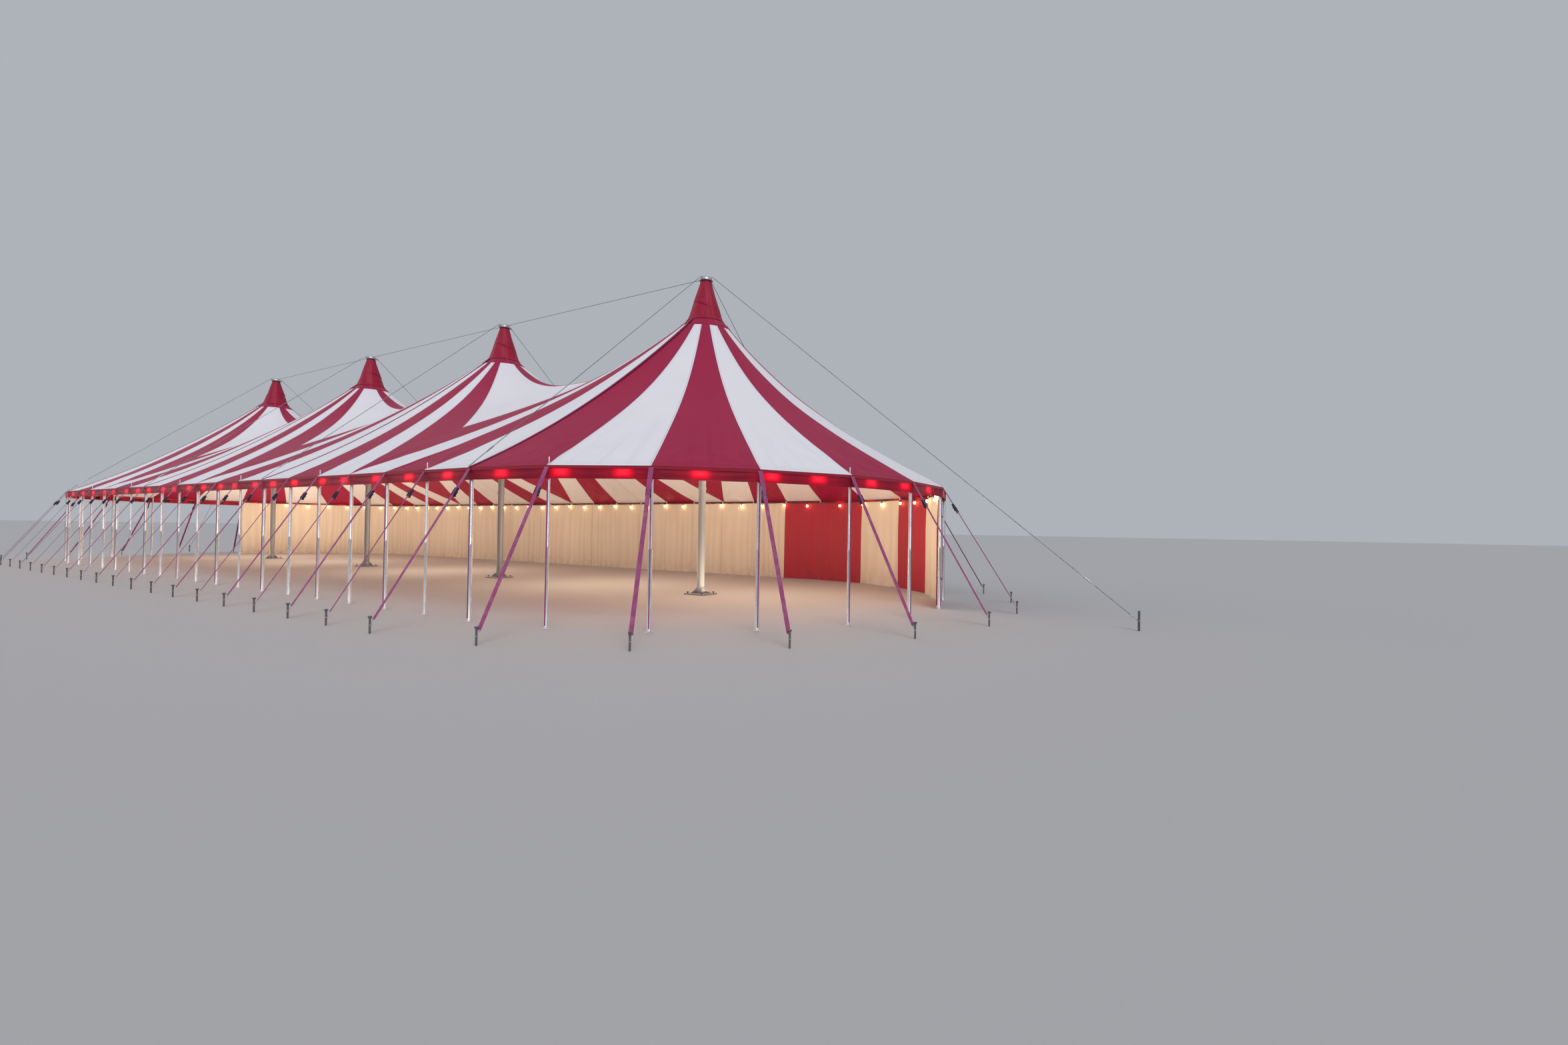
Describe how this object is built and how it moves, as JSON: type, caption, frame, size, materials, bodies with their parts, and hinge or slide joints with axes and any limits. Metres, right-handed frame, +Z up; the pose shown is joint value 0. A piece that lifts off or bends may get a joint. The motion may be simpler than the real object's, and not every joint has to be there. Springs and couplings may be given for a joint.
{
  "type": "circus big top tent",
  "caption": "Long circus big top with round ends: striped roof on a row of king poles, red cone caps, red valance, side poles, guy straps and wire stays.",
  "frame": {"origin": "on the ground at the middle of the tent", "axes": "+X along the row of king poles, +Y to the side with the sidewall cloth, +Z up"},
  "size_m": [38.176, 13.7266, 6.9868],
  "materials": {
    "striped_cloth": "coated tent cloth in red and white gores",
    "red_cloth": "coated red tent cloth",
    "wall_cloth": "cream sidewall cloth",
    "webbing": "woven polyester webbing",
    "galvanised": "galvanised tube",
    "steel": "grey painted steel",
    "wire_rope": "dull steel wire rope"
  },
  "bodies": {
    "root": {"king_pole_1": "steel", "pole_head_1": "galvanised", "cone_cap_1": "red_cloth", "side_stays_1": "wire_rope", "king_pole_2": "steel", "pole_head_2": "galvanised", "cone_cap_2": "red_cloth", "side_stays_2": "wire_rope", "king_pole_3": "steel", "pole_head_3": "galvanised", "cone_cap_3": "red_cloth", "side_stays_3": "wire_rope", "king_pole_4": "steel", "pole_head_4": "galvanised", "cone_cap_4": "red_cloth", "side_stays_4": "wire_rope", "canopy_left": "striped_cloth", "ridge_tie_left": "wire_rope", "side_poles_front_left": "galvanised", "guy_straps_front_left": "webbing", "side_poles_back_left": "galvanised", "guy_straps_back_left": "webbing", "sidewall_back_left": "wall_cloth", "canopy_middle": "striped_cloth", "ridge_tie_middle": "wire_rope", "side_poles_front_middle": "galvanised", "guy_straps_front_middle": "webbing", "side_poles_back_middle": "galvanised", "guy_straps_back_middle": "webbing", "sidewall_back_middle": "wall_cloth", "canopy_right": "striped_cloth", "ridge_tie_right": "wire_rope", "side_poles_front_right": "galvanised", "guy_straps_front_right": "webbing", "side_poles_back_right": "galvanised", "guy_straps_back_right": "webbing", "sidewall_back_right": "wall_cloth", "valance_front": "red_cloth", "valance_back": "red_cloth", "canopy_right_end": "striped_cloth", "valance_right_end": "red_cloth", "side_poles_right_end": "galvanised", "guy_straps_right_end": "webbing", "sidewall_right_end": "wall_cloth", "end_stay_right": "wire_rope", "canopy_left_end": "striped_cloth", "valance_left_end": "red_cloth", "side_poles_left_end": "galvanised", "guy_straps_left_end": "webbing", "sidewall_left_end": "wall_cloth", "end_stay_left": "wire_rope"}
  },
  "joints": []
}
